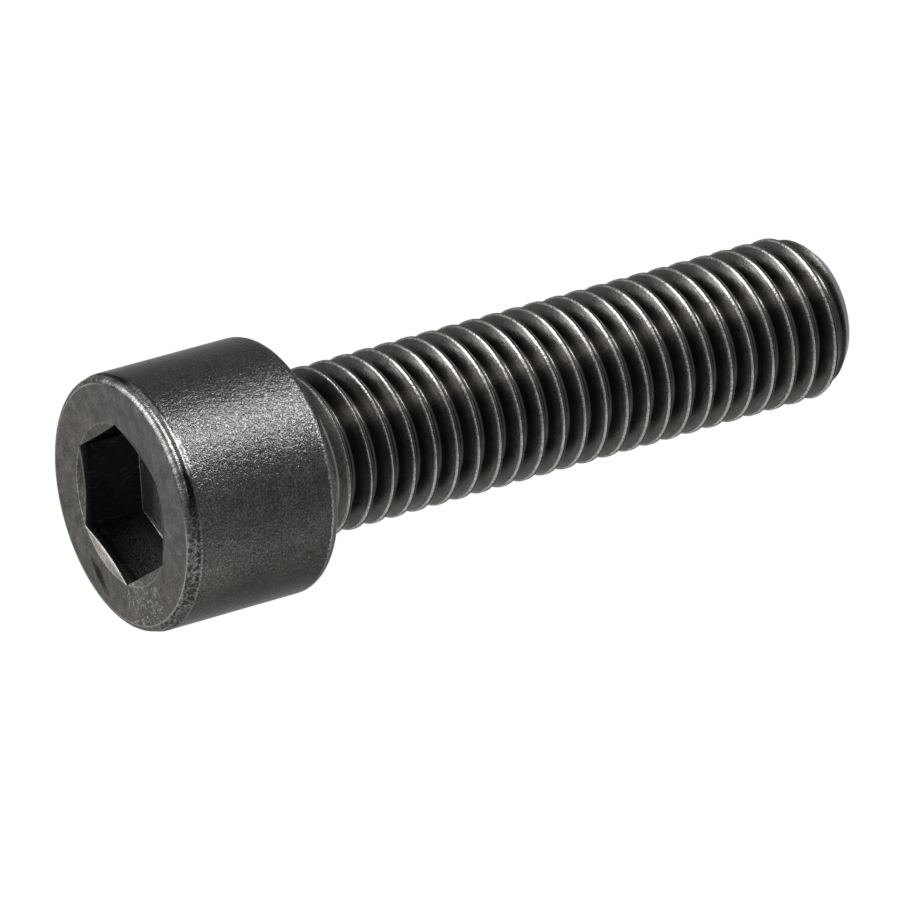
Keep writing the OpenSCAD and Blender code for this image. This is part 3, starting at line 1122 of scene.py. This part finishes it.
# %% [markdown]
# ## Run the tree
# The tree runs as a modifier on an empty carrier. A modifier's inputs go by the sockets' identifiers,
# which are looked up by name here. The result becomes a plain mesh, and the modifier and the two
# helper shapes are removed, since only plain meshes are exported.

# %% Evaluate the thread
def evaluate(name, tree, values):
    """Runs a geometry tree on an empty carrier and returns a plain mesh object."""
    carrier = new_object(name + "_carrier", bpy.data.meshes.new(name + "_carrier"))
    modifier = carrier.modifiers.new("nodes", "NODES")
    modifier.node_group = tree
    ids = {item.name: item.identifier for item in tree.interface.items_tree
           if item.in_out == "INPUT"}
    for label, value in values.items():
        modifier[ids[label]] = value
    graph = bpy.context.evaluated_depsgraph_get()
    mesh = bpy.data.meshes.new_from_object(carrier.evaluated_get(graph))
    mesh.name = name
    carrier.modifiers.remove(modifier)
    bpy.data.objects.remove(carrier)
    return new_object(name, mesh)


thread = evaluate("screw_thread", thread_nodes, {
    "Section": section_object, "Section Points": len(SECTION), "Sides": SIDES, "Turns": TURNS,
    **{label: size * MM for label, size in SHANK_SIZES.items()},
    "Envelope": envelope, "Material": thread_finish,
})
for helper in (section_object, envelope):
    bpy.data.objects.remove(helper)
print("thread:", len(thread.data.vertices), "points,", len(thread.data.polygons), "faces")

# %% [markdown]
# ## Join into one piece
# The real screw is one piece of steel, so the dressed screw is one piece too, with one material for
# its head and one for its thread. The two skins overlap inside the neck, where nobody sees it. All
# faces are shaded smoothly, and only edges sharper than 28 degrees stay crisp.

# %% Join the head and the thread
SHARP_FROM = 28
joined = bmesh.new()
joined.from_mesh(head.data)
head_faces = len(joined.faces)
joined.from_mesh(thread.data)
joined.faces.ensure_lookup_table()
for face in joined.faces:
    face.material_index = 0 if face.index < head_faces else 1
    face.smooth = True
bmesh.ops.triangulate(joined, faces=joined.faces)
screw_mesh = bpy.data.meshes.new("cap_screw_dressed")
joined.to_mesh(screw_mesh)
joined.free()
screw_mesh.materials.append(head_finish)
screw_mesh.materials.append(thread_finish)
screw_mesh.set_sharp_from_angle(angle=math.radians(SHARP_FROM))
screw = new_object("cap_screw_dressed", screw_mesh)
for part in (head, thread):
    bpy.data.objects.remove(part)
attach(screw, "root")
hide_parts("cap_screw")
print("dressed screw:", len(screw_mesh.polygons), "triangles")

# %% [markdown]
# ## Floor
# The floor is plain and pale and catches the screw's shadow. The camera looks at the socket, which
# is under the standing screw, so the floor lets the view through from below: only its upper side is
# drawn. Far from the screw it fades to white, so no horizon shows. It lies a hair below the screw
# and takes no part in the mirrored light.

# %% Floor
FLOOR_R = 3.0
FLOOR_DROP = 0.0002
FADE_FROM, FADE_TO = 0.07, 0.26


def floor_material():
    material, w = new_material("pale_floor")
    place = w.add("ShaderNodeTexCoord", out="Object")
    far = w.ramp(w.vector("LENGTH", place, out=1), FADE_FROM, FADE_TO)
    lit = w.add("ShaderNodeBsdfDiffuse", {"Color": (0.8, 0.8, 0.8, 1)})
    white = w.add("ShaderNodeEmission", {"Color": (1, 1, 1, 1), "Strength": 1.0})
    top = w.add("ShaderNodeMixShader", [far, lit, white])
    clear = w.add("ShaderNodeBsdfTransparent")
    below = w.add("ShaderNodeNewGeometry", out="Backfacing")
    both = w.add("ShaderNodeMixShader", [below, top, clear])
    w.add("ShaderNodeOutputMaterial", [both], out=None)
    return material


floor_mesh = bpy.data.meshes.new("floor")
floor_disc = bmesh.new()
bmesh.ops.create_circle(floor_disc, cap_ends=True, segments=96, radius=FLOOR_R)
floor_disc.to_mesh(floor_mesh)
floor_disc.free()
floor = new_object("floor", floor_mesh)
floor.location.z = -FLOOR_DROP
floor.data.materials.append(floor_material())
floor.visible_shadow = False
floor.visible_diffuse = False
floor.visible_glossy = False
print("floor:", FLOOR_R, "m in radius")

# %% [markdown]
# ## Surroundings
# A dark metal shows little but what it mirrors, so the surroundings matter as much as the lamps. The
# world is white for the camera and in reflections, as a light tent is, but gives only a third of
# that as light, so that shadows on the floor stay visible.

# %% World
AMBIENT = 0.35
world = bpy.data.worlds.new("studio")
bpy.context.scene.world = world
world.use_nodes = True
world.node_tree.nodes.clear()
w = Paint(world.node_tree)
rays = w.add("ShaderNodeLightPath", out=None).outputs
ambient = w.add("ShaderNodeBackground", {"Color": (1, 1, 1, 1), "Strength": AMBIENT})
backdrop = w.add("ShaderNodeBackground", {"Color": (1, 1, 1, 1), "Strength": 1.0})
mirrored = w.most(rays["Is Glossy Ray"], rays["Is Transmission Ray"])
seen = w.add("ShaderNodeMixShader", [w.most(rays["Is Camera Ray"], mirrored), ambient, backdrop])
w.add("ShaderNodeOutputWorld", [seen], out=None)
print("world:", world.name)

# %% [markdown]
# ## Lamps
# Large soft lamps light the screw from all round. Their directions are given as the camera sees
# them, to the right, up and towards it, so a reader can tell from the picture which lamp makes which
# gleam. The key lamp draws the bright line along the head and on the crests. The others keep the
# far sides from sinking into black.

# %% Lamps
CAMERA_RIGHT = Vector((-0.058324, 0.545955, 0.835782))
CAMERA_UP = Vector((0.936349, -0.26041, 0.235449))
CAMERA_BACK = Vector((0.346191, 0.796316, -0.496017))
SCREW_MIDDLE = Vector((0, 0, 0.025))
LAMP_DISTANCE = 0.6
LAMPS = [
    # name, direction (right, up, towards the camera), width in metres, power in watts
    ("key_top_right", (0.56, 0.757, 0.339), 0.20, 7.1),
    ("fill_top_left", (-0.84, 0.41, 0.35), 0.36, 4.6),
    ("fill_left", (-0.99, -0.09, 0.04), 0.36, 1.4),
    ("fill_low_right", (0.74, -0.67, -0.08), 0.40, 0.55),
]


def softbox(name, aim, width, power):
    """A round soft lamp that shines at the screw."""
    right, up, back = aim
    way = (CAMERA_RIGHT * right + CAMERA_UP * up + CAMERA_BACK * back).normalized()
    lamp = bpy.data.lights.new(name, "AREA")
    lamp.shape = "DISK"
    lamp.size = width
    lamp.energy = power
    holder = new_object(name, lamp)
    holder.location = SCREW_MIDDLE + way * LAMP_DISTANCE
    holder.rotation_mode = "QUATERNION"
    holder.rotation_quaternion = way.to_track_quat("Z", "Y")
    holder.visible_camera = False
    return holder


for row in LAMPS:
    print("lamp:", softbox(*row).name)

# %% [markdown]
# ## Camera
# The place, the turn and the long lens were fitted to the outline of the head, the hexagon and the
# shank. The camera is below the floor's level, because the socket faces down.

# %% Camera
CAMERA_AT = Vector((0.238557, 0.554844, -0.319227))
FOCAL_LENGTH = 405.2825
SENSOR_WIDTH = 36.0
lens = bpy.data.cameras.new("camera")
lens.sensor_width = SENSOR_WIDTH
lens.lens = FOCAL_LENGTH
lens.clip_start, lens.clip_end = 0.05, 5.0
camera = new_object("camera", lens)
turned = Matrix((CAMERA_RIGHT, CAMERA_UP, CAMERA_BACK)).transposed()
camera.matrix_world = Matrix.Translation(CAMERA_AT) @ turned.to_4x4()
bpy.context.scene.camera = camera
bpy.context.scene.view_settings.view_transform = "Standard"
print("camera:", round((CAMERA_AT - SCREW_MIDDLE).length, 3), "m from the screw")
